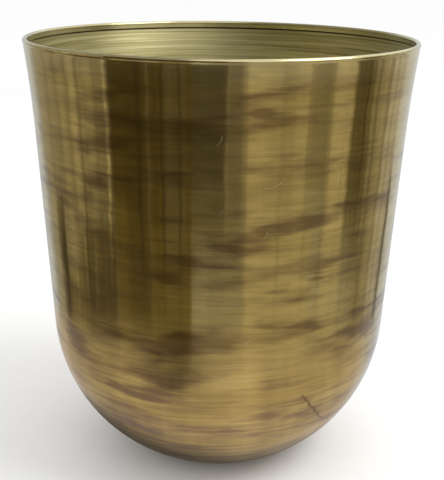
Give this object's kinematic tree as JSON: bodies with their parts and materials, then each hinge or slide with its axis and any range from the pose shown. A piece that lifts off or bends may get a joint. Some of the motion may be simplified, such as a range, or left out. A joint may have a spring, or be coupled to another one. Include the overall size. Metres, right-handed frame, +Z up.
{
  "type": "planter pot",
  "caption": "Tall round spun-brass planter pot with a gently flared wall, a wired rolled rim and a rounded bottom on small felt pads.",
  "frame": {"origin": "on the pot's axis, at the floor that the felt pads stand on", "axes": "+Z up along the pot's axis, out of the mouth; +X and +Y level, between the felt pads"},
  "size_m": [0.3999, 0.4, 0.45],
  "materials": {
    "patinated_brass": "antiqued, horizontally brushed and lacquered outside; satin spun brass inside",
    "braze_metal": "filed flush with the brass sheets",
    "rim_steel": "drawn wire",
    "felt": "pressed felt"
  },
  "bodies": {
    "root": {"wall_shell": "patinated_brass", "bottom_bowl": "patinated_brass", "seam_braze": "braze_metal", "rim_wire": "rim_steel", "foot_pad_1": "felt", "foot_pad_2": "felt", "foot_pad_3": "felt", "foot_pad_4": "felt"}
  },
  "joints": []
}
